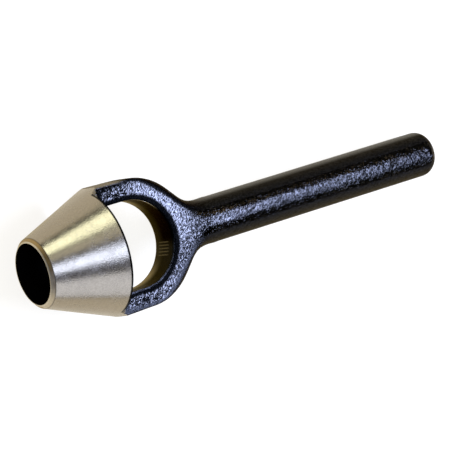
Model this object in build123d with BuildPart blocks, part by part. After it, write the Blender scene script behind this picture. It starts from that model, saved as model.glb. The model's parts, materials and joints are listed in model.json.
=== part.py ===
"""Arch punch: one forged and turned steel piece, lying as it comes to rest.

A conical cutting head with a round mouth is carried by an arch of two arms, which
leave a window behind the head for the cut discs, and the arch runs into a round shank.
All lengths are in millimetres, and +Z is up.
"""
import os
from math import asin, atan, atan2, cos, hypot, pi, radians, sin, tan

from build123d import *

# Cutting head, turned and ground
bore_diameter = 20.0
bore_land_length = 4.0
bore_relief_angle = 3.5
edge_land_width = 0.2
edge_bevel_length = 1.15
edge_bevel_angle = 47.0
head_length = 24.2
rim_chamfer = 0.3

# Shank, turned to size with a fine ledge at the neck, and rounded at the striking end
shank_diameter = 15.1
shank_ledge = 0.03
overall_length = 158.5
strike_end_round = 4.5

# Outline of the forged arch, seen on its flat side: distances run back from the
# cutting edge, and the corners of the outline are rounded. The head's cone opens to a
# rim that lies a step inside the arms
arm_width_across = 42.3
arm_step_past_rim = 0.775
arm_taper_angle = 1.6
side_length = 18.0
side_round = 24.5
shoulder_distance = 50.5
shoulder_width_across = 34.6
shoulder_round = 19.5
neck_distance = 59.6
neck_round = 13.5
arch_end_distance = 68.0

# Section of the arch: flat and squarish at the arms, easing to the round shank. The
# powers are those of the superellipse that draws it, and 2 is an ellipse
arch_thickness = 12.7
arm_squareness = 9.0
neck_squareness = 2.0
thickening_start = 50.0
thickening_end = 66.0
rounding_start = 38.0
rounding_end = 62.0

# Window through the arch
window_width = 28.4
window_length = 25.4
window_edge_round = 1.1
root_round = 1.0

# Allowances of the making, which leave no mark on the finished punch
arm_embedding = 9.0
turning_allowance = 1.2
overcut = 1.0
touch_tolerance = 0.01
round_share = 0.49

# Fineness of the arch's curves: sections along it, and points around each section
outline_steps = 24
section_points = 44

# Radii, slopes and places that follow from the sizes above
bore_radius = bore_diameter / 2
shank_radius = shank_diameter / 2
neck_radius = shank_radius + shank_ledge
half_arch = arch_thickness / 2
half_window = window_width / 2
land_radius = bore_radius + edge_land_width
bevel_radius = land_radius + edge_bevel_length * tan(radians(edge_bevel_angle))
rim_radius = arm_width_across / 2 - arm_step_past_rim
cone_slope = (rim_radius - bevel_radius) / (head_length - edge_bevel_length)
relief_radius = bore_radius + (head_length - bore_land_length) * tan(radians(bore_relief_angle))
arm_taper = tan(radians(arm_taper_angle))
arm_start = head_length - arm_embedding
arm_start_radius = arm_width_across / 2 + (head_length - arm_start) * arm_taper
side_end = head_length + side_length
side_end_radius = arm_width_across / 2 - side_length * arm_taper
window_end = head_length + window_length
crown_centre = window_end - half_window
disc_radius = arm_start_radius + turning_allowance

# Rest on a flat surface: the head's rim and the striking end both touch it, so the
# tool's axis dips by the slope of the line from the rim to the rounded end
cone_angle = atan(cone_slope)
rim_contact = head_length - rim_chamfer * cos(cone_angle)
rim_contact_radius = rim_radius - rim_chamfer * sin(cone_angle)
end_centre = overall_length - strike_end_round
end_centre_radius = shank_radius - strike_end_round
run = end_centre - rim_contact
drop = rim_contact_radius - end_centre_radius
dip = atan2(drop, run) - asin(strike_end_round / hypot(run, drop))
mouth_height = rim_contact * sin(dip) + rim_contact_radius * cos(dip)
lowest_x = -land_radius * sin(dip)
highest_x = end_centre * cos(dip) + end_centre_radius * sin(dip) + strike_end_round

# The arch plane holds the tool's axis and the window's outline: its origin is the
# centre of the cutting mouth, its x runs back along the tool and its y across the arms
mouth = Vector(-(lowest_x + highest_x) / 2, 0, mouth_height)
along = Vector(cos(dip), 0, -sin(dip))
arch_plane = Plane(origin=mouth, x_dir=along, z_dir=(sin(dip), 0, cos(dip)))
tool_axis = Axis(origin=mouth, direction=along)


def behind_mouth(shape):
    """Distance of a shape's centre behind the cutting mouth, along the tool."""
    return arch_plane.to_local_coords(shape.center()).X


def off_middle(shape):
    """Distance of a shape's centre from the arch plane, on either side."""
    return abs(arch_plane.to_local_coords(shape.center()).Z)


def cross_plane(distance):
    """Plane across the tool at a distance behind the cutting mouth."""
    origin = arch_plane.from_local_coords((distance, 0, 0))
    return Plane(origin=origin, x_dir=(0, 1, 0), z_dir=along)


def eased(distance, start, end):
    """Smooth step from 0 at the start distance to 1 at the end distance."""
    share = min(max((distance - start) / (end - start), 0), 1)
    return share * share * (3 - 2 * share)


def round_that_fits(radius, before, corner, after):
    """Radius for a corner of the outline that takes no more than its share of a side."""
    into, out = Vector(corner) - Vector(before), Vector(after) - Vector(corner)
    half_turn = radians(into.get_angle(out)) / 2
    return min(radius, round_share * min(into.length, out.length) / tan(half_turn))


def section_outline(distance, half_width):
    """Points of the arch's section: an ellipse whose power makes it squarer."""
    thicker = eased(distance, thickening_start, thickening_end)
    half_height = half_arch + (neck_radius - half_arch) * thicker
    rounder = eased(distance, rounding_start, rounding_end)
    flatness = (1 - rounder) / arm_squareness + rounder / neck_squareness
    points = []
    for step in range(section_points):
        turn = 2 * pi * step / section_points
        across, up = abs(cos(turn)), abs(sin(turn))
        swell = (across ** (1 / flatness) + up ** (1 / flatness)) ** -flatness
        points.append((half_width * swell * cos(turn), half_height * swell * sin(turn)))
    return points


# Outline of one half of the arch, from inside the head to the shank
outline_corners = [
    (arm_start, arm_start_radius),
    (side_end, side_end_radius),
    (shoulder_distance, shoulder_width_across / 2),
    (neck_distance, neck_radius),
    (arch_end_distance, neck_radius),
]
outline_rounds = [
    round_that_fits(radius, *outline_corners[corner:corner + 3])
    for corner, radius in enumerate([side_round, shoulder_round, neck_round])
]
with BuildLine() as arch_outline:
    FilletPolyline(*outline_corners, radius=outline_rounds)

with BuildPart() as arch_punch:
    # Forged arch: sections along its outline, from inside the head to the shank
    for step in range(outline_steps + 1):
        place = arch_outline.wire() @ (step / outline_steps)
        with BuildSketch(cross_plane(place.X)):
            with BuildLine():
                Spline(*section_outline(place.X, place.Y), periodic=True)
            make_face()
    loft()

    # Shank, drawn on from the arch's round end, with its striking end rounded
    with BuildSketch(cross_plane(arch_end_distance)):
        Circle(shank_radius)
    extrude(amount=overall_length - arch_end_distance)
    fillet(arch_punch.edges().sort_by(behind_mouth)[-1], strike_end_round)

    # Window right through the arch, with a round crown and softened edges
    with BuildSketch(arch_plane):
        with BuildLine():
            side = Line((arm_start, -half_window), (crown_centre, -half_window))
            crown = ThreePointArc(side @ 1, (window_end, 0), (crown_centre, half_window))
            Polyline(crown @ 1, (arm_start, half_window), side @ 0)
        make_face()
    extrude(amount=shank_diameter, both=True, mode=Mode.SUBTRACT)
    window_edges = arch_punch.edges(Select.LAST).filter_by(
        lambda edge: off_middle(edge) > half_arch / 2
        and behind_mouth(edge) > arm_start + touch_tolerance
    )
    fillet(window_edges, window_edge_round)

    # Head: a forged disc, turned to the cone and to the bevel at the cutting edge
    with BuildSketch(cross_plane(0)):
        Circle(disc_radius)
    extrude(amount=head_length)
    cone_run = (disc_radius - bevel_radius) / cone_slope + overcut
    with BuildSketch(arch_plane):
        Polygon(
            (-overcut, land_radius),
            (0, land_radius),
            (edge_bevel_length, bevel_radius),
            (edge_bevel_length + cone_run, bevel_radius + cone_run * cone_slope),
            (-overcut, bevel_radius + cone_run * cone_slope),
            align=None,
        )
    revolve(axis=tool_axis, mode=Mode.SUBTRACT)

    # Bore: a short cylindrical land, then a relief that widens towards the window
    with BuildSketch(arch_plane):
        Polygon(
            (-overcut, 0),
            (-overcut, bore_radius),
            (bore_land_length, bore_radius),
            (head_length, relief_radius),
            (head_length + overcut, relief_radius),
            (head_length + overcut, 0),
            align=None,
        )
    revolve(axis=tool_axis, mode=Mode.SUBTRACT)

    # Soft roots where the arms leave the head, then the head's rim with its edge broken
    back_edges = arch_punch.edges().filter_by(
        lambda edge: abs(behind_mouth(edge) - head_length) < touch_tolerance
    )
    arcs = back_edges.filter_by(GeomType.CIRCLE)
    fillet(back_edges - arcs, root_round)
    rim_edges = arch_punch.edges().filter_by(
        lambda edge: abs(behind_mouth(edge) - head_length) < touch_tolerance
        and edge.geom_type == GeomType.CIRCLE
        and off_middle(edge) > half_arch
    )
    chamfer(rim_edges, rim_chamfer)

arch_punch.part.label = "arch_punch"
os.makedirs("parts", exist_ok=True)
export_step(arch_punch.part, "parts/arch_punch.step")
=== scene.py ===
"""Looks of the arch punch: black crinkled enamel on the forging, a bare ground cone, and a
plain studio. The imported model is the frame, and everything here is measured from it."""
import json
import math
from types import SimpleNamespace

import bpy
import numpy as np
from bpy.props import FloatProperty, FloatVectorProperty, PointerProperty
from mathutils import Euler, Matrix, Quaternion, Vector


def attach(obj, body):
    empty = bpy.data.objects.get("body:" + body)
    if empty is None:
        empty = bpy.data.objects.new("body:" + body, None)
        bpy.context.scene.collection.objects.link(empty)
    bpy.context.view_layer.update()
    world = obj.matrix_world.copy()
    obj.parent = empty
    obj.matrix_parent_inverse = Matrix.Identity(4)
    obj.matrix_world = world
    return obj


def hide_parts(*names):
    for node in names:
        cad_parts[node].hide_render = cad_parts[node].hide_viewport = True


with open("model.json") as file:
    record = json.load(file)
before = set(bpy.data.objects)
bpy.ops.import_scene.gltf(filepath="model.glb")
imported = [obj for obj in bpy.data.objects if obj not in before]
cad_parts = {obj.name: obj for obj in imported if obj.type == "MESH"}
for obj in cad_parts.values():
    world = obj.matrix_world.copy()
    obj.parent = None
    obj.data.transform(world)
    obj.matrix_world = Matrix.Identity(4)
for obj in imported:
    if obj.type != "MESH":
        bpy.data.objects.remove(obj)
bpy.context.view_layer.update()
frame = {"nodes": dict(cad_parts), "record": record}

bl_info = {
    "name": "Arch punch looks",
    "version": (1, 0, 0),
    "blender": (4, 5, 0),
    "location": "View3D > Sidebar > Arch punch",
    "description": "Dresses the packed arch punch and sets its studio",
    "category": "Object",
}

MILLIMETRE = 0.001

# The tool's own axes, read from the frame: origin at the centre of the cutting mouth,
# along the tool to its striking end, across the arms, and up through the window
mounts = {mount["name"]: mount for mount in frame["record"]["mounts"]}
bore_mount, shank_mount = mounts["mouth_bore"], mounts["shank"]
ALONG = -Vector(bore_mount["axis"]).normalized()
ACROSS = Vector((0, 1, 0))
UP = ALONG.cross(ACROSS)
BORE_LAND = bore_mount["dims"]["length_mm"] * MILLIMETRE
BORE_RADIUS = bore_mount["dims"]["r_mm"] * MILLIMETRE
SHANK_RADIUS = shank_mount["dims"]["r_mm"] * MILLIMETRE
MOUTH = Vector(bore_mount["pos_m"]) - ALONG * BORE_LAND / 2

# Reading the faces of the frame's mesh: how near a corner lies to the surface it is on,
# the decimals of a metre to which equal corners agree, and the sharpest smooth edge
CORNER_TOUCH = 0.02 * MILLIMETRE
CORNER_DECIMALS = 7
SHARP_ANGLE = math.radians(20)

# The rows of four below tell over which span a finish changes: where the span begins and
# ends, then the level at its beginning and at its end. Unless a comment says otherwise,
# the ends are in millimetres along the tool, behind the mouth. Sizes, depths and reaches
# are in millimetres too, and shares and levels are plain numbers.

# Crinkle, over the levels of its noises: the blobs' rise beside a valley, their gloss,
# and how unevenly they shine. Calm opens the gloss and flattens the height, and the fine
# noise on top has more and lower blobs
BLOB_RISE = (0.0, 0.12, 0, 1)
BLOB_GLOSS = (0.055, 0.095, 0, 1)
BLOB_UNEVEN = (0.38, 0.56, 0.12, 1)
BLOB_DISTORTION = 1.2
CALM_OPENS = 0.075
CALM_FLATTENS = 0.5
FINE_PER_BLOB = 2.3
FINE_SHARE = 0.6

# Enamel: where its wrinkles lie calm, on the arms' bend, most on the far arm (across),
# and on the shank, and where the arch thickens to the shank
BEND_BEGINS = (33, 42, 0, 1)
BEND_ENDS = (52, 66, 1, 0.3)
BEND_ACROSS = (-8, 8, 0.6, 1)
SHANK_BEGINS = (58, 68, 0, 1)
SHANK_CALM = 0.9
ARCH_THICKENS = (50, 66)

# Enamel: the noise that makes its masks ragged, which reaches over a share of the arch's
# half height, along the tool and from the window. The enamel faces up over that share of
# the half height, less a margin near the head
RAGGED_SIZE = 1.6
RAGGED_DETAIL = 3.0
RAGGED_SHARE = 0.06
RAGGED_ALONG = 3.0
RAGGED_WINDOW = 0.8
HEAD_MARGIN = (28, 55, 0.09, 0)
FACING_UP = (0.85, 0.93, 0, 1)

# Enamel: its gloss, over the calm, along the tool, over the share of the half height, and
# across the shank on its far side
GLOSS_CALM = (0.4, 1, 0.55, 0.95)
GLOSS_TO_SHANK = (48, 62, 1, 0.72)
GLOSS_DIMS = (66, 80, 0, 0.3)
GLOSS_RETURNS = (100, 126, 1, 0)
GLOSS_OFF_FLATS = (0.6, 0.82, 0.22, 0.05)
FAR_SIDE = (6.0, 7.3, 0, 1)

# Enamel: its ragged end on the arms with a dull margin, the dull margin past the window's
# edge, and a patch of bare steel colour on one arm's outer edge that is a painted
# highlight, bounded across, by height and along
PAINT_END = (26.8, 27.1, 0, 1)
PAINT_MARGIN = (27.8, 29.6, 0, 1)
WINDOW_MARGIN = (1.7, 2.5, 0, 1)
HIGHLIGHT_PATCH_ACROSS = (18.8, 19.8, 0, 1)
HIGHLIGHT_PATCH_HEIGHT = (5.0, 5.7, 1, 0)
HIGHLIGHT_PATCH_ALONG = (34, 40, 0.8, 0)

# Enamel: the faces off the arms, which stay painted up to the head, by the distance past
# the window's edge and above the arch
OFF_ARMS_INSIDE = (0.6, 1.4, 1, 0)
OFF_ARMS_ABOVE = (0.05, 0.2, 0, 1)

# Window's wall: its depth past the window's edge, its lower side (up, and along) and edge
# (up) with a painted brown reflection, and a painted highlight line under its upper edge
# (up, up and across)
WALL_DEPTH = (0.25, 0.6, 1, 0)
LOW_WALL_UP = (0, -5, 0, 0.8)
LOW_WALL_ALONG = (42, 48, 1, 0.08)
WALL_EDGE = (-5.1, -5.6, 0, 1)
LINE_BEGINS = (4.1, 4.5, 0, 0.7)
LINE_ENDS = (5.0, 5.3, 1, 0)
LINE_ACROSS = (8, 12, 0, 1)

# Window's wall: shear marks, real marks drawn in the brown of the painted reflection, over
# the sine that makes them, then bounded across, across, up, up and along
SHEAR_PITCH = 0.98
SHEAR_STRIPES = (0.2, 0.8, 0, 0.22)
SHEAR_BEGINS = (-7.2, -6.6, 0, 1)
SHEAR_ENDS = (-2.6, -1.8, 1, 0)
SHEAR_FOOT = (-4.4, -3.0, 0, 1)
SHEAR_HEAD = (1.5, 3.0, 1, 0)
SHEAR_ALONG = (45, 46, 0, 1)

# Enamel: a lighter colour on the near side (across), which is a painted sheen, with its
# share round the shank, the roughness off the flats and where the steel is bare, and the
# shader's constants
NEAR_SIDE_SHEEN = (-1, -5, 0, 1)
SHEEN_ROUND_SHANK = 0.4
DULL_ROUGHNESS = 0.42
BARE_ROUGHER = 0.2
ENAMEL_INDEX = 1.8
ENAMEL_TINT = (0.55, 0.50, 0.38, 1)

# Enamel: how far the flats are levelled in their shading (height, and along), the long
# waves under the wrinkles, and the stretch of the wrinkles, which lie askew on the flats
LEVEL_HEIGHT = (4.3, 5.6, 0, 0.85)
LEVEL_ALONG = (54, 64, 1, 0)
WAVE_SIZE = 4
WAVE_DEPTH = 0.1
WRINKLE_STRETCH = ((0.50, 0.50, 0), (0.88, -0.88, 0), (0, 0, 1))

# Ground steel: the bevel's back in shares of its length, its pale side, a painted
# highlight, in degrees round the tool, the painted highlight on the cutting edge, and the
# dark lines behind the bevel, which is painted shade (by the distance from the line), and
# on the rim (along, and by height), which the grain makes ragged
BEVEL_BACK = (0.9, 1.05)
PAINTED_PALE_TURN = (75, 105)
PAINTED_PALE_LEVEL = 0.8
EDGE_HIGHLIGHT = (0.22, 0.34, 1, 0)
BEVEL_SHADE_LINE = (0.05, 0.25, 0.55, 1)
RIM_LINE = (23.5, 23.75, 0, 0.98)
RIM_HEIGHT = (6.0, 6.8, 0, 1)
RIM_RAGGED = 0.3

# Ground steel: shade over the level of the grain, and the shares of its mean roughness
# over the level of the patches
GRAIN_SHADE = (0.35, 0.6, 0.92, 1.04)
GRAIN_ROUGHNESS = 0.6
PATCH_SIZE = 3.5
PATCH_DETAIL = 3.0
PATCH_SHARES = (0.35, 0.65, 0.88, 1.16)
BEVEL_ROUGHER = 0.16

# Bore: nearly black and without a mirror
BORE_BLACK = (0.0015, 0.0014, 0.0012, 1)
BORE_ROUGHNESS = 0.6

# Studio: white, the floor's white as metal mirrors it, and the room above the horizon,
# which begins over a span of the direction's height
WHITE = (1, 1, 1, 1)
MIRRORED_WHITE = (1.0, 0.88, 0.62, 1)
ROOM_COLOUR = (0.10, 0.095, 0.085, 1)
HORIZON = (-0.01, 0.02, 0, 1)
FLOOR_SIDES = 96

# Soft lamps: name, direction from the punch, distance, width, height, radiance, colour
# and the place that it is aimed at
LAMPS = (
    ("key_card", (0.56, -0.09, 0.82), 1.5, 1.00, 0.48, 42.0, (0.52, 0.66, 1.34), "middle"),
    ("amber_card", (0.45, 0.47, 0.75), 1.5, 0.40, 0.40, 6.0, (1.0, 0.80, 0.60), "middle"),
    ("top_card", (-0.14, -0.01, 0.98), 1.3, 0.60, 0.54, 3.8, (0.75, 0.88, 1.25), "head"),
    ("fill_card", (-0.14, 0.54, 0.83), 1.3, 0.50, 0.36, 0.9, (1.0, 0.96, 0.80), "head"),
    ("warm_card", (-0.10, 0.86, 0.46), 1.3, 0.75, 0.62, 3.3, (0.94, 1.0, 0.80), "head"),
    ("side_card", (-0.08, -0.87, 0.47), 1.3, 0.75, 1.15, 1.55, (0.84, 0.90, 1.08), "head"),
)
OVERHEAD = 0.94

# Camera: where it stands round the mouth, by its turn from the X axis and its height over
# the horizon, and its roll from level, all in degrees
CAMERA_TURN = 166.66
CAMERA_HEIGHT = 66.51
CAMERA_ROLL = 86.18
SENSOR_WIDTH = 36

# Places that the lamps and the camera are aimed at, in millimetres along, across and up
AIMS = {"middle": (50, 0, 0), "head": (14, 0, 10), "view": (73.04, -3.3, 0)}

# The Mix node has sockets for each kind of value: the two that are mixed and the result
MIX_VECTORS, MIXED_VECTOR = slice(4, 6), 1
MIX_COLOURS, MIXED_COLOUR = slice(6, 8), 2


class PunchFinish(bpy.types.PropertyGroup):
    """Colours and sizes of the finishes, and the sizes of the shape that they follow."""

    enamel_colour: FloatVectorProperty(
        name="Enamel colour", description="Base colour of the black enamel",
        default=(0.0003, 0.0003, 0.00025), size=3, subtype="COLOR", min=0, max=1)
    enamel_roughness: FloatProperty(
        name="Enamel roughness", description="Roughness of the enamel between its wrinkles",
        default=0.12, min=0, max=1)
    wrinkle_size: FloatProperty(
        name="Wrinkle size",
        description="Distance from one wrinkle of the enamel to the next",
        default=1.2 * MILLIMETRE, unit="LENGTH", precision=5)
    wrinkle_depth: FloatProperty(
        name="Wrinkle depth", description="Height of the enamel's wrinkles",
        default=0.05 * MILLIMETRE, unit="LENGTH", precision=6)
    steel_colour: FloatVectorProperty(
        name="Steel colour", description="Base colour of the bare ground steel",
        default=(0.37, 0.33, 0.265), size=3, subtype="COLOR", min=0, max=1)
    # Painted sheen: a lighter base colour laid on the enamel's near side and round the
    # shank
    painted_sheen_colour: FloatVectorProperty(
        name="Side colour", description="Base colour of the duller enamel on the near side",
        default=(0.018, 0.017, 0.014), size=3, subtype="COLOR", min=0, max=1)
    # Brown base colour of the painted reflections and highlight line on the window's wall,
    # also drawn on its real shear marks
    wall_reflection_colour: FloatVectorProperty(
        name="Wall colour",
        description="Base colour of the worn places on the window's wall",
        default=(0.52, 0.44, 0.27), size=3, subtype="COLOR", min=0, max=1)
    # Straw colour of the bevel, darker than the cone's steel
    bevel_colour: FloatVectorProperty(
        name="Bevel colour", description="Base colour of the tempered bevel",
        default=(0.36, 0.26, 0.12), size=3, subtype="COLOR", min=0, max=1)
    # Painted highlight colour, laid on the cutting edge's land and on one side of the bevel
    edge_highlight_colour: FloatVectorProperty(
        name="Land colour", description="Base colour of the bright cutting edge",
        default=(0.62, 0.57, 0.47), size=3, subtype="COLOR", min=0, max=1)
    steel_roughness: FloatProperty(
        name="Steel roughness", description="Mean roughness of the ground steel",
        default=0.24, min=0, max=1)
    grain_size: FloatProperty(
        name="Grain size", description="Size of the fine grain left by grinding",
        default=0.5 * MILLIMETRE, unit="LENGTH", precision=5)
    grain_depth: FloatProperty(
        name="Grain depth", description="Height of the ground steel's grain",
        default=0.036 * MILLIMETRE, unit="LENGTH", precision=6)
    cone_angle: FloatProperty(
        name="Cone angle", description="Slope of the ground cone from the tool's axis",
        default=math.radians(21.203), subtype="ANGLE")
    arch_half_height: FloatProperty(
        name="Arch half height", description="Half of the forged arch's thickness",
        default=6.35 * MILLIMETRE, unit="LENGTH", precision=5)
    window_crown: FloatProperty(
        name="Window crown",
        description="Distance of the round crown's centre from the mouth",
        default=35.4 * MILLIMETRE, unit="LENGTH", precision=4)
    window_radius: FloatProperty(
        name="Window radius", description="Half of the window's width",
        default=14.2 * MILLIMETRE, unit="LENGTH", precision=4)
    relief_angle: FloatProperty(
        name="Relief angle", description="Slope of the bore's wall behind its land",
        default=math.radians(3.5), subtype="ANGLE")
    bevel_angle: FloatProperty(
        name="Bevel angle", description="Slope of the bevel behind the cutting edge",
        default=math.radians(47), subtype="ANGLE")
    bevel_length: FloatProperty(
        name="Bevel length", description="Length of the bevel along the tool",
        default=1.15 * MILLIMETRE, unit="LENGTH", precision=5)
    edge_land: FloatProperty(
        name="Edge land", description="Width of the flat ring at the cutting edge",
        default=0.2 * MILLIMETRE, unit="LENGTH", precision=5)


class PunchStudio(bpy.types.PropertyGroup):
    """Sizes, levels and colours of the studio."""

    floor_colour: FloatVectorProperty(
        name="Floor colour", description="Colour of the plain floor",
        default=(0.20, 0.17, 0.105), size=3, subtype="COLOR", min=0, max=1)
    floor_glow: FloatProperty(
        name="Floor glow", description="White that the floor adds to its own colour",
        default=0.86, min=0, max=1)
    floor_mirrored: FloatProperty(
        name="Floor mirrored", description="Share of that white which the punch mirrors",
        default=0.72, min=0, max=1)
    floor_radius: FloatProperty(
        name="Floor radius", description="Radius of the round floor",
        default=6.0, unit="LENGTH")
    camera_distance: FloatProperty(
        name="Camera distance", description="Distance from the cutting mouth to the camera",
        default=0.9357, unit="LENGTH", precision=4)
    focal_length: FloatProperty(
        name="Focal length", description="Focal length of the camera in millimetres",
        default=240.0, unit="CAMERA")


def tool_point(along, across, up):
    """Point of the frame from its distances along, across and up the tool, in metres."""
    return MOUTH + ALONG * along + ACROSS * across + UP * up


def aim_point(aim):
    """Point of the frame that a lamp or the camera is aimed at, in metres."""
    return tool_point(*(length * MILLIMETRE for length in AIMS[aim]))


def tool_coordinates(points):
    """Distances along, across and up the tool, in metres, of an array of points."""
    offset = points - np.array(MOUTH)
    return offset @ np.array(ALONG), offset @ np.array(ACROSS), offset @ np.array(UP)


def face_masks(finish, along, radius):
    """Which faces are ground steel and which line the bore, from the corners of each face.

    The steel lies on the flat ring at the edge, on the bevel behind it, and on the cone,
    radius = bevel radius + (along - bevel length) * slope of the cone. The bore's wall
    has the bore's radius over its land, and widens by the relief's slope behind it.
    """
    land_radius = BORE_RADIUS + finish.edge_land
    bevel_radius = land_radius + finish.bevel_length * math.tan(finish.bevel_angle)
    bevel = land_radius + along * math.tan(finish.bevel_angle)
    cone = bevel_radius + (along - finish.bevel_length) * math.tan(finish.cone_angle)
    bore = BORE_RADIUS + np.maximum(along - BORE_LAND, 0) * math.tan(finish.relief_angle)
    outside = np.where(along < finish.bevel_length, bevel, cone)
    on_outside = (np.abs(radius - outside) < CORNER_TOUCH).all(axis=1)
    on_edge = (along < CORNER_TOUCH).all(axis=1)
    on_bore = (np.abs(radius - bore) < CORNER_TOUCH).all(axis=1)
    return on_outside | on_edge, on_bore & ~on_edge


def merged_copy(node, name):
    """New mesh with the node's triangles, its equal corners joined to one vertex each."""
    source = node.data
    corners = np.empty(len(source.vertices) * 3, np.float32)
    source.vertices.foreach_get("co", corners)
    triangles = np.empty(len(source.polygons) * 3, np.int32)
    source.polygons.foreach_get("vertices", triangles)
    points, places = np.unique(
        np.round(corners.reshape(-1, 3), CORNER_DECIMALS), axis=0, return_inverse=True)
    triangles = places.reshape(-1)[triangles].reshape(-1, 3)
    first, second, third = triangles.T
    whole = (first != second) & (second != third) & (third != first)
    mesh = bpy.data.meshes.new(name)
    mesh.from_pydata(points.tolist(), [], triangles[whole].tolist())
    mesh.update()
    return mesh, points, triangles[whole]


def new_group(name, inputs, outputs):
    """Empty shader node group with named sockets: returns it with its two end nodes."""
    group = bpy.data.node_groups.new(name, "ShaderNodeTree")
    for label, kind, default in inputs:
        socket = group.interface.new_socket(label, in_out="INPUT", socket_type=kind)
        if default is not None:
            socket.default_value = default
    for label, kind in outputs:
        group.interface.new_socket(label, in_out="OUTPUT", socket_type=kind)
    return group, group.nodes.new("NodeGroupInput"), group.nodes.new("NodeGroupOutput")


def feed(tree, slot, value):
    """Give a socket its value: a link from another socket, or a plain value."""
    if isinstance(value, bpy.types.NodeSocket):
        tree.links.new(value, slot)
    else:
        slot.default_value = value


def place_group(tree, group, **values):
    """Node that uses a group, with its named inputs linked or set."""
    node = tree.nodes.new("ShaderNodeGroup")
    node.node_tree = group
    for label, value in values.items():
        feed(tree, node.inputs[label], value)
    return node


def math_node(tree, operation, *values):
    """Math node of one operation, each input a socket or a number: returns its output."""
    node = tree.nodes.new("ShaderNodeMath")
    node.operation = operation
    for slot, value in zip(node.inputs, values):
        feed(tree, slot, value)
    return node.outputs[0]


def product(tree, first, *others):
    """Product of several levels."""
    for other in others:
        first = math_node(tree, "MULTIPLY", first, other)
    return first


def most(tree, first, *others):
    """Highest of several levels."""
    for other in others:
        first = math_node(tree, "MAXIMUM", first, other)
    return first


def rest_of(tree, level):
    """What a level leaves of 1."""
    return math_node(tree, "SUBTRACT", 1, level)


def length_of(tree, first, second):
    """Length of the hypotenuse over two others: the root of the sum of their squares."""
    return math_node(tree, "SQRT", math_node(
        tree, "ADD", product(tree, first, first), product(tree, second, second)))


def vector_node(tree, operation, first, second=(0, 0, 0)):
    """Vector Math node of one operation, its inputs each a socket or a vector."""
    node = tree.nodes.new("ShaderNodeVectorMath")
    node.operation = operation
    feed(tree, node.inputs[0], first)
    feed(tree, node.inputs[1], second)
    return node.outputs["Value" if operation == "DOT_PRODUCT" else "Vector"]


def scaled(tree, vector, scale):
    """Vector times a number, each a socket or a value."""
    node = tree.nodes.new("ShaderNodeVectorMath")
    node.operation = "SCALE"
    feed(tree, node.inputs[0], vector)
    feed(tree, node.inputs["Scale"], scale)
    return node.outputs["Vector"]


def range_node(tree, value, low, high, start, end, smooth=True):
    """Map Range node from low..high to start..end, held at its ends."""
    node = tree.nodes.new("ShaderNodeMapRange")
    node.interpolation_type = "SMOOTHSTEP" if smooth else "LINEAR"
    labels = ("Value", "From Min", "From Max", "To Min", "To Max")
    for label, given in zip(labels, (value, low, high, start, end)):
        feed(tree, node.inputs[label], given)
    return node.outputs["Result"]


def span_node(tree, value, row, past=0.0, smooth=True):
    """Level that changes over a span of lengths, as its row tells.

    The row gives the span's ends in millimetres past a length, which is in metres, and
    the level at each end.
    """
    low, high, start, end = row
    return range_node(tree, value, past + low * MILLIMETRE, past + high * MILLIMETRE,
                      start, end, smooth)


def noise_node(tree, vector, scale, detail=2.0, roughness=0.5, distortion=0.0):
    """Noise texture with scale, a number or a socket, as its blobs per metre."""
    node = tree.nodes.new("ShaderNodeTexNoise")
    feed(tree, node.inputs["Vector"], vector)
    feed(tree, node.inputs["Scale"], scale)
    node.inputs["Detail"].default_value = detail
    node.inputs["Roughness"].default_value = roughness
    node.inputs["Distortion"].default_value = distortion
    return node.outputs["Fac"]


def mix_node(tree, kind, slots, result, factor, pair):
    """Mix node of one kind of value: the first of the pair where the factor is 0."""
    node = tree.nodes.new("ShaderNodeMix")
    node.data_type = kind
    feed(tree, node.inputs["Factor"], factor)
    for slot, value in zip(node.inputs[slots], pair):
        feed(tree, slot, value)
    return node.outputs[result]


def mix_colours(tree, factor, *pair):
    """Colour between two others, each a socket or a value."""
    return mix_node(tree, "RGBA", MIX_COLOURS, MIXED_COLOUR, factor, pair)


def mix_vectors(tree, factor, *pair):
    """Vector between two others, each a socket or a value."""
    return mix_node(tree, "VECTOR", MIX_VECTORS, MIXED_VECTOR, factor, pair)


def bump(tree, shader, height, distance, before=None):
    """Bump node, in metres of height, into the shader's normal: returns its normal."""
    node = tree.nodes.new("ShaderNodeBump")
    node.inputs["Distance"].default_value = distance
    feed(tree, node.inputs["Height"], height)
    if before is not None:
        feed(tree, node.inputs["Normal"], before)
    tree.links.new(node.outputs["Normal"], shader.inputs["Normal"])
    return node.outputs["Normal"]


def new_material(name):
    """Material with nodes, its Principled shader and its object coordinates."""
    material = bpy.data.materials.new(name)
    material.use_nodes = True
    tree = material.node_tree
    places = tree.nodes.new("ShaderNodeTexCoord")
    return material, tree, tree.nodes["Principled BSDF"], places.outputs["Object"]


def make_tool_places():
    """Group: places on the tool, in metres and radians, from object coordinates.

    Along, across and up are the products of the offset from the mouth with the tool's
    axes, and turn is the angle round the tool, from across towards up.
    """
    group, start, end = new_group(
        "Tool places", [("Vector", "NodeSocketVector", None)],
        [("Along", "NodeSocketFloat"), ("Across", "NodeSocketFloat"),
         ("Up", "NodeSocketFloat"), ("Turn", "NodeSocketFloat"),
         ("Vector", "NodeSocketVector")])
    offset = vector_node(group, "SUBTRACT", start.outputs["Vector"], MOUTH)
    along, across, up = (
        vector_node(group, "DOT_PRODUCT", offset, axis) for axis in (ALONG, ACROSS, UP))
    turn = math_node(group, "ARCTAN2", up, across)
    place = group.nodes.new("ShaderNodeCombineXYZ")
    for slot, value in zip(place.inputs, (along, across, up)):
        group.links.new(value, slot)
    for slot, value in zip(end.inputs, (along, across, up, turn, place.outputs[0])):
        group.links.new(value, slot)
    return group


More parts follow.
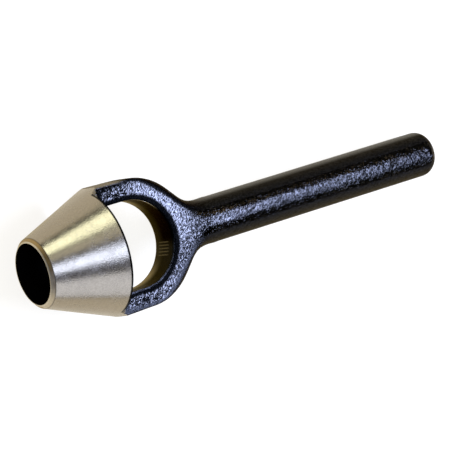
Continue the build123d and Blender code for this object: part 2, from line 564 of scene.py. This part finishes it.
def make_crinkle():
    """Group: height of crinkled enamel, as blobs with narrow winding valleys between them.

    The valleys follow the lines on which a slow noise passes its middle value, and the
    blobs rise smoothly on both sides of them, with a finer noise on top. Calm, from 0 to
    1, closes the valleys.
    """
    group, start, end = new_group(
        "Crinkle",
        [("Vector", "NodeSocketVector", None), ("Size", "NodeSocketFloat", MILLIMETRE),
         ("Calm", "NodeSocketFloat", 0.0)],
        [("Height", "NodeSocketFloat"), ("Gloss", "NodeSocketFloat")])
    vector, calm = start.outputs["Vector"], start.outputs["Calm"]
    scale = math_node(group, "DIVIDE", 1, start.outputs["Size"])
    blobs = noise_node(group, vector, scale, detail=1.0, distortion=BLOB_DISTORTION)
    from_middle = math_node(group, "ABSOLUTE", math_node(group, "SUBTRACT", blobs, 0.5))
    plateau = range_node(group, from_middle, *BLOB_RISE)
    opened = math_node(group, "MULTIPLY_ADD", calm, CALM_OPENS, from_middle)
    fine = noise_node(group, vector, product(group, scale, FINE_PER_BLOB), detail=1.0)
    flatter = math_node(group, "MULTIPLY_ADD", calm, -CALM_FLATTENS, 1)
    height = product(group, flatter, math_node(
        group, "MULTIPLY_ADD", fine, FINE_SHARE, plateau))
    gloss = product(group, range_node(group, opened, *BLOB_GLOSS),
                    range_node(group, fine, *BLOB_UNEVEN))
    group.links.new(height, end.inputs["Height"])
    group.links.new(gloss, end.inputs["Gloss"])
    return group


def enamel_places(tree, finish, tool_places, vector):
    """Sockets with the places that the enamel's masks read.

    Height is the distance from the arch's middle plane, up or down. Behind is the distance
    along the tool, made ragged. From window is the distance from the window's middle line
    up to the crown's centre, and from that centre past it. Shank is 0 on the arch and 1
    on the shank.
    """
    node = place_group(tree, tool_places, Vector=vector)
    along, across, up = (node.outputs[label] for label in ("Along", "Across", "Up"))
    ragged = noise_node(tree, vector, 1 / (RAGGED_SIZE * MILLIMETRE), detail=RAGGED_DETAIL)
    past_crown = most(tree, math_node(tree, "SUBTRACT", along, finish.window_crown), 0)
    return SimpleNamespace(
        along=along, across=across, up=up, vector=node.outputs["Vector"], ragged=ragged,
        height=math_node(tree, "ABSOLUTE", up),
        behind=math_node(tree, "MULTIPLY_ADD", ragged, RAGGED_ALONG * MILLIMETRE, along),
        from_window=length_of(tree, past_crown, across),
        shank=span_node(tree, along, SHANK_BEGINS))


def enamel_calm(tree, at):
    """How calm the wrinkles lie, from 0 to 1."""
    bend = product(
        tree, span_node(tree, at.along, BEND_BEGINS), span_node(tree, at.along, BEND_ENDS),
        span_node(tree, at.across, BEND_ACROSS))
    return most(tree, bend, product(tree, at.shank, SHANK_CALM))


def enamel_facing(tree, finish, at):
    """Share of the arch's half height at each place, and where that makes it face up.

    The half height eases to the shank's radius behind the arch.
    """
    half_height = span_node(
        tree, at.along, (*ARCH_THICKENS, finish.arch_half_height, SHANK_RADIUS))
    share = math_node(tree, "MULTIPLY_ADD", at.ragged, RAGGED_SHARE, math_node(
        tree, "DIVIDE", at.height, half_height))
    margin = span_node(tree, at.along, HEAD_MARGIN, smooth=False)
    facing = range_node(tree, math_node(tree, "SUBTRACT", share, margin), *FACING_UP)
    return share, facing


def enamel_gloss(tree, finish, at, calm, share, facing, blobs):
    """How much of the enamel shines: its blobs on the flats, dimmer towards all margins."""
    lit = product(tree, facing, range_node(tree, calm, *GLOSS_CALM),
                  span_node(tree, at.along, GLOSS_TO_SHANK))
    dim = product(tree, span_node(tree, at.along, GLOSS_DIMS),
                  span_node(tree, at.along, GLOSS_RETURNS))
    lit = product(tree, lit, rest_of(tree, dim))
    on_arch = product(tree, share, rest_of(tree, at.shank))
    lit = most(tree, lit, range_node(tree, on_arch, *GLOSS_OFF_FLATS))
    past_edge = math_node(
        tree, "MULTIPLY_ADD", at.ragged, RAGGED_WINDOW * MILLIMETRE, at.from_window)
    gloss = product(tree, blobs, lit, span_node(tree, at.behind, PAINT_MARGIN),
                    span_node(tree, past_edge, WINDOW_MARGIN, finish.window_radius))
    far_side = product(tree, at.shank, span_node(tree, at.across, FAR_SIDE))
    return most(tree, gloss, far_side)


def enamel_cover(tree, finish, at):
    """Where enamel covers the steel: behind its ragged end, except on a patch of bare steel
    colour that is a painted highlight, and on every face that isn't the arms'."""
    # A patch of bare steel colour on the outer edge of the arm across, as a painted
    # highlight
    highlight_patch = product(
        tree, span_node(tree, at.across, HIGHLIGHT_PATCH_ACROSS),
        span_node(tree, at.height, HIGHLIGHT_PATCH_HEIGHT), span_node(tree, at.behind, HIGHLIGHT_PATCH_ALONG))
    off_arms = most(
        tree, span_node(tree, at.from_window, OFF_ARMS_INSIDE, finish.window_radius),
        span_node(tree, at.height, OFF_ARMS_ABOVE, finish.arch_half_height))
    painted = product(tree, span_node(tree, at.behind, PAINT_END), rest_of(tree, highlight_patch))
    return most(tree, off_arms, painted)


def painted_wall_reflections(tree, finish, at):
    """Where the window's wall is painted brown: a painted reflection towards its lower side
    and on its edge, a painted highlight line under its upper edge, and a few upright shear
    marks at the crown, real marks drawn in the same brown."""
    low_wall = product(tree, span_node(tree, at.up, LOW_WALL_UP),
                       span_node(tree, at.along, LOW_WALL_ALONG))
    line = product(
        tree, span_node(tree, at.up, LINE_BEGINS), span_node(tree, at.up, LINE_ENDS),
        span_node(tree, at.across, LINE_ACROSS))
    wave = math_node(tree, "SINE", product(
        tree, at.across, 2 * math.pi / (SHEAR_PITCH * MILLIMETRE)))
    marks = product(
        tree, range_node(tree, wave, *SHEAR_STRIPES),
        span_node(tree, at.across, SHEAR_BEGINS), span_node(tree, at.across, SHEAR_ENDS),
        span_node(tree, at.up, SHEAR_FOOT), span_node(tree, at.up, SHEAR_HEAD),
        span_node(tree, at.along, SHEAR_ALONG))
    reflected = most(tree, marks, line, low_wall, span_node(tree, at.up, WALL_EDGE))
    return product(tree, span_node(tree, at.from_window, WALL_DEPTH, finish.window_radius),
                   reflected)


def enamel_normal(tree, finish, at, paint):
    """Normal under the bumps: levelled on the arch's flats, and the cone's on bare steel.

    A flat's normal is the tool's up or down. The cone's normal is the direction outwards
    from the axis times the cosine of its slope, less the direction along times the sine.
    """
    flatten = product(tree, span_node(tree, at.height, LEVEL_HEIGHT),
                      span_node(tree, at.along, LEVEL_ALONG))
    geometry = tree.nodes.new("ShaderNodeNewGeometry")
    levelled = mix_vectors(tree, flatten, geometry.outputs["Normal"], scaled(
        tree, UP, math_node(tree, "SIGN", at.up)))
    parts = tree.nodes.new("ShaderNodeSeparateXYZ")
    tree.links.new(vector_node(tree, "NORMALIZE", vector_node(
        tree, "MULTIPLY", at.vector, (0, 1, 1))), parts.inputs[0])
    sine, cosine = math.sin(finish.cone_angle), math.cos(finish.cone_angle)
    ground = ALONG * -sine
    for axis, part in ((ACROSS, "Y"), (UP, "Z")):
        ground = vector_node(tree, "ADD", ground, scaled(
            tree, axis * cosine, parts.outputs[part]))
    return mix_vectors(tree, paint, ground, levelled)


def make_enamel(finish, tool_places, crinkle):
    """Black enamel: glossy blobs between black wrinkles, dull on the trimmed sides.

    It ends raggedly on the arms a little behind the head, and leaves a patch of bare steel
    colour on the outer edge of one arm as a painted highlight.
    """
    material, tree, shader, vector = new_material("black_enamel")
    at = enamel_places(tree, finish, tool_places, vector)
    calm = enamel_calm(tree, at)
    share, facing = enamel_facing(tree, finish, at)
    paint = enamel_cover(tree, finish, at)
    stretched = tree.nodes.new("ShaderNodeCombineXYZ")
    for slot, stretch in zip(stretched.inputs, WRINKLE_STRETCH):
        tree.links.new(vector_node(tree, "DOT_PRODUCT", at.vector, stretch), slot)
    wrinkles = place_group(
        tree, crinkle, Vector=stretched.outputs[0], Size=finish.wrinkle_size, Calm=calm)

    # Blobs shine as enamel does, and the rest is a black metal that mirrors next to
    # nothing
    gloss = enamel_gloss(tree, finish, at, calm, share, facing, wrinkles.outputs["Gloss"])
    tree.links.new(rest_of(tree, gloss), shader.inputs["Metallic"])
    shader.inputs["IOR"].default_value = ENAMEL_INDEX
    shader.inputs["Specular Tint"].default_value = ENAMEL_TINT
    dull = range_node(tree, facing, 0, 1, DULL_ROUGHNESS, finish.enamel_roughness)
    rough = math_node(tree, "MULTIPLY_ADD", rest_of(tree, paint), BARE_ROUGHER, dull)
    tree.links.new(rough, shader.inputs["Roughness"])

    # Painted sheen: the near side and the shank, off the flats, get a lighter colour
    painted_sheen = product(tree, rest_of(tree, facing), most(
        tree, product(tree, at.shank, SHEEN_ROUND_SHANK),
        span_node(tree, at.across, NEAR_SIDE_SHEEN)))
    colour = mix_colours(
        tree, painted_sheen, (*finish.enamel_colour, 1), (*finish.painted_sheen_colour, 1))
    # Painted brown reflections and a painted highlight line on the window's wall, and its
    # shear marks in the same brown
    colour = mix_colours(
        tree, painted_wall_reflections(tree, finish, at), colour, (*finish.wall_reflection_colour, 1))
    colour = mix_colours(tree, paint, (*finish.steel_colour, 1), colour)
    tree.links.new(colour, shader.inputs["Base Color"])

    waves = noise_node(tree, vector, 1 / (WAVE_SIZE * MILLIMETRE), detail=1.0)
    waved = bump(tree, shader, waves, WAVE_DEPTH * MILLIMETRE,
                 enamel_normal(tree, finish, at, paint))
    bump(tree, shader, product(tree, wrinkles.outputs["Height"], paint),
         finish.wrinkle_depth, waved)
    return material


def make_steel(finish, tool_places):
    """Bare ground steel with a fine grain, and a darker straw-coloured bevel, paler on one
    side and at its edge as a painted highlight.

    A dark line of painted shade parts the bevel from the cone, and another dark line runs
    along the rim where it borders the window.
    """
    material, tree, shader, vector = new_material("ground_steel")
    places = place_group(tree, tool_places, Vector=vector)
    along = places.outputs["Along"]
    height = math_node(tree, "ABSOLUTE", places.outputs["Up"])
    grain = noise_node(tree, vector, 1 / finish.grain_size, roughness=GRAIN_ROUGHNESS)
    patches = noise_node(tree, vector, 1 / (PATCH_SIZE * MILLIMETRE), detail=PATCH_DETAIL,
                         roughness=GRAIN_ROUGHNESS)

    # Colour of the steel and of the straw bevel, with a painted highlight on one side of
    # the bevel and at its edge
    low, high = (finish.bevel_length * part for part in BEVEL_BACK)
    bevel = range_node(tree, along, low, high, 1, 0)
    low, high = (math.radians(turn) for turn in PAINTED_PALE_TURN)
    pale = most(tree, range_node(tree, places.outputs["Turn"], low, high, 0, PAINTED_PALE_LEVEL),
                span_node(tree, along, EDGE_HIGHLIGHT))
    straw = mix_colours(tree, pale, (*finish.bevel_colour, 1), (*finish.edge_highlight_colour, 1))
    colour = mix_colours(tree, bevel, (*finish.steel_colour, 1), straw)

    # Shade of the two dark lines, the one behind the bevel a painted shade, and of the
    # grain
    from_line = math_node(tree, "ABSOLUTE", math_node(
        tree, "SUBTRACT", along, finish.bevel_length))
    ragged = math_node(tree, "MULTIPLY_ADD", grain, RIM_RAGGED * MILLIMETRE, along)
    rim = product(tree, span_node(tree, ragged, RIM_LINE),
                  span_node(tree, height, RIM_HEIGHT))
    shade = product(tree, span_node(tree, from_line, BEVEL_SHADE_LINE), rest_of(tree, rim),
                    range_node(tree, grain, *GRAIN_SHADE))
    tree.links.new(scaled(tree, colour, shade), shader.inputs["Base Color"])

    shader.inputs["Metallic"].default_value = 1
    low, high, smoother, rougher = PATCH_SHARES
    rough = range_node(tree, patches, low, high, finish.steel_roughness * smoother,
                       finish.steel_roughness * rougher)
    tree.links.new(math_node(tree, "MULTIPLY_ADD", bevel, BEVEL_ROUGHER, rough),
                   shader.inputs["Roughness"])
    bump(tree, shader, grain, finish.grain_depth)
    return material


def make_bore_lining():
    """Nearly black lining of the bore, without a mirror."""
    material, _, shader, _ = new_material("bore_black")
    shader.inputs["Base Color"].default_value = BORE_BLACK
    shader.inputs["Roughness"].default_value = BORE_ROUGHNESS
    shader.inputs["Specular IOR Level"].default_value = 0
    return material


class PUNCH_OT_forging(bpy.types.Operator):
    """Dress the one forging: enamel, ground steel and the dark bore on a joined copy"""

    bl_idname = "punch.forging"
    bl_label = "Dress the forging"

    def execute(self, context):
        finish = context.scene.punch_finish
        node = frame["nodes"]["arch_punch"]
        mesh, points, triangles = merged_copy(node, "forged_punch")
        along, across, up = tool_coordinates(points[triangles])
        steel, bore = face_masks(finish, along, np.hypot(across, up))
        places = make_tool_places()
        for material in (make_enamel(finish, places, make_crinkle()),
                         make_steel(finish, places), make_bore_lining()):
            mesh.materials.append(material)
        which = np.select([steel, bore], [1, 2], 0).astype(np.int32)
        mesh.polygons.foreach_set("material_index", which)
        mesh.polygons.foreach_set("use_smooth", np.ones(len(triangles), bool))
        mesh.set_sharp_from_angle(angle=SHARP_ANGLE)
        piece = bpy.data.objects.new("forged_punch", mesh)
        context.scene.collection.objects.link(piece)
        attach(piece, "root")
        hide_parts("arch_punch")
        return {"FINISHED"}


def make_floor(scene, studio):
    """Round flat floor at the height of the surface that the punch lies on.

    Its edge is the radius times (cosine, sine) of the turn. It shows its own colour and
    its glow to the camera, and a share of the glow to metal.
    """
    turn = np.linspace(0, 2 * math.pi, FLOOR_SIDES, endpoint=False)
    ring = np.stack([np.cos(turn), np.sin(turn), np.zeros(FLOOR_SIDES)], axis=1)
    mesh = bpy.data.meshes.new("floor")
    mesh.from_pydata((ring * studio.floor_radius).tolist(), [], [list(range(FLOOR_SIDES))])
    material, tree, shader, _ = new_material("pale_floor")
    shader.inputs["Base Color"].default_value = (*studio.floor_colour, 1)
    shader.inputs["Roughness"].default_value = 1
    shader.inputs["Specular IOR Level"].default_value = 0
    rays = tree.nodes.new("ShaderNodeLightPath")
    mirrored = product(tree, rays.outputs["Is Glossy Ray"], studio.floor_mirrored)
    seen = most(tree, rays.outputs["Is Camera Ray"], mirrored,
                rays.outputs["Is Transmission Ray"])
    white = mix_colours(tree, rays.outputs["Is Glossy Ray"], WHITE, MIRRORED_WHITE)
    tree.links.new(white, shader.inputs["Emission Color"])
    tree.links.new(product(tree, seen, studio.floor_glow),
                   shader.inputs["Emission Strength"])
    mesh.materials.append(material)
    floor = bpy.data.objects.new("floor", mesh)
    scene.collection.objects.link(floor)


def make_lamp(scene, name, direction, distance, width, height, radiance, colour, aim):
    """Soft lamp that stands in a direction from the place it is aimed at, and faces it.

    An area lamp of power P and area A shines with a radiance of P / (pi * A), so the power
    that it needs follows from its size. Its height lies in the upright plane through the
    direction, or along the Y axis where the lamp hangs overhead.
    """
    lamp = bpy.data.lights.new(name, "AREA")
    lamp.shape = "RECTANGLE"
    lamp.size, lamp.size_y = width, height
    lamp.color = colour
    lamp.energy = radiance * math.pi * width * height
    thing = bpy.data.objects.new(name, lamp)
    away = Vector(direction).normalized()
    above = Vector((0, 1, 0)) if away.z > OVERHEAD else Vector((0, 0, 1))
    across = above.cross(away).normalized()
    thing.location = aim_point(aim) + away * distance
    turned = Matrix((across, away.cross(across), away)).transposed()
    thing.rotation_euler = turned.to_euler()
    thing.visible_camera = False
    scene.collection.objects.link(thing)


def make_world(scene):
    """White below the horizon, as the floor goes on, and a dim room above it."""
    world = bpy.data.worlds.new("studio")
    world.use_nodes = True
    tree = world.node_tree
    places = tree.nodes.new("ShaderNodeTexCoord")
    parts = tree.nodes.new("ShaderNodeSeparateXYZ")
    tree.links.new(places.outputs["Generated"], parts.inputs[0])
    above = range_node(tree, parts.outputs["Z"], *HORIZON)
    tree.links.new(mix_colours(tree, above, WHITE, ROOM_COLOUR),
                   tree.nodes["Background"].inputs["Color"])
    scene.world = world


def make_camera(scene, studio):
    """Camera that looks down on the punch from the head's side, and is rolled so that the
    shank runs up to the right.

    From the mouth it lies in the direction of the X axis, raised by its height and then
    turned round the upright axis.
    """
    data = bpy.data.cameras.new("camera")
    data.lens = studio.focal_length
    data.sensor_width = SENSOR_WIDTH
    camera = bpy.data.objects.new("camera", data)
    raised = Vector((studio.camera_distance, 0, 0))
    raised.rotate(Euler((0, -math.radians(CAMERA_HEIGHT), math.radians(CAMERA_TURN))))
    camera.location = MOUTH + raised
    level = (aim_point("view") - camera.location).to_track_quat("-Z", "Y")
    roll = Quaternion((0, 0, 1), math.radians(CAMERA_ROLL))
    camera.rotation_euler = (level @ roll).to_euler()
    scene.collection.objects.link(camera)
    scene.camera = camera


class PUNCH_OT_studio(bpy.types.Operator):
    """Set the pale floor, the soft lamps, the world and the camera"""

    bl_idname = "punch.studio"
    bl_label = "Set the studio"

    def execute(self, context):
        scene, studio = context.scene, context.scene.punch_studio
        make_floor(scene, studio)
        for row in LAMPS:
            make_lamp(scene, *row)
        make_world(scene)
        make_camera(scene, studio)
        scene.view_settings.view_transform = "Standard"
        return {"FINISHED"}


class PUNCH_PT_panel(bpy.types.Panel):
    """Lists the steps that dress the punch, with their settings"""

    bl_idname = "PUNCH_PT_panel"
    bl_label = "Arch punch"
    bl_space_type = "VIEW_3D"
    bl_region_type = "UI"
    bl_category = "Arch punch"

    def draw(self, context):
        for group, operator in ((context.scene.punch_finish, PUNCH_OT_forging),
                                (context.scene.punch_studio, PUNCH_OT_studio)):
            column = self.layout.column()
            for label in group.bl_rna.properties.keys():
                if label not in ("rna_type", "name"):
                    column.prop(group, label)
            column.operator(operator.bl_idname)


CLASSES = (PunchFinish, PunchStudio, PUNCH_OT_forging, PUNCH_OT_studio, PUNCH_PT_panel)


def register():
    """Make the classes known to Blender, and hang the settings on the scene."""
    for each in CLASSES:
        bpy.utils.register_class(each)
    bpy.types.Scene.punch_finish = PointerProperty(type=PunchFinish)
    bpy.types.Scene.punch_studio = PointerProperty(type=PunchStudio)


def unregister():
    """Undo what register does."""
    del bpy.types.Scene.punch_studio
    del bpy.types.Scene.punch_finish
    for each in reversed(CLASSES):
        bpy.utils.unregister_class(each)


def main():
    """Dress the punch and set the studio."""
    register()
    bpy.ops.punch.forging()
    bpy.ops.punch.studio()


if __name__ == "__main__":
    main()
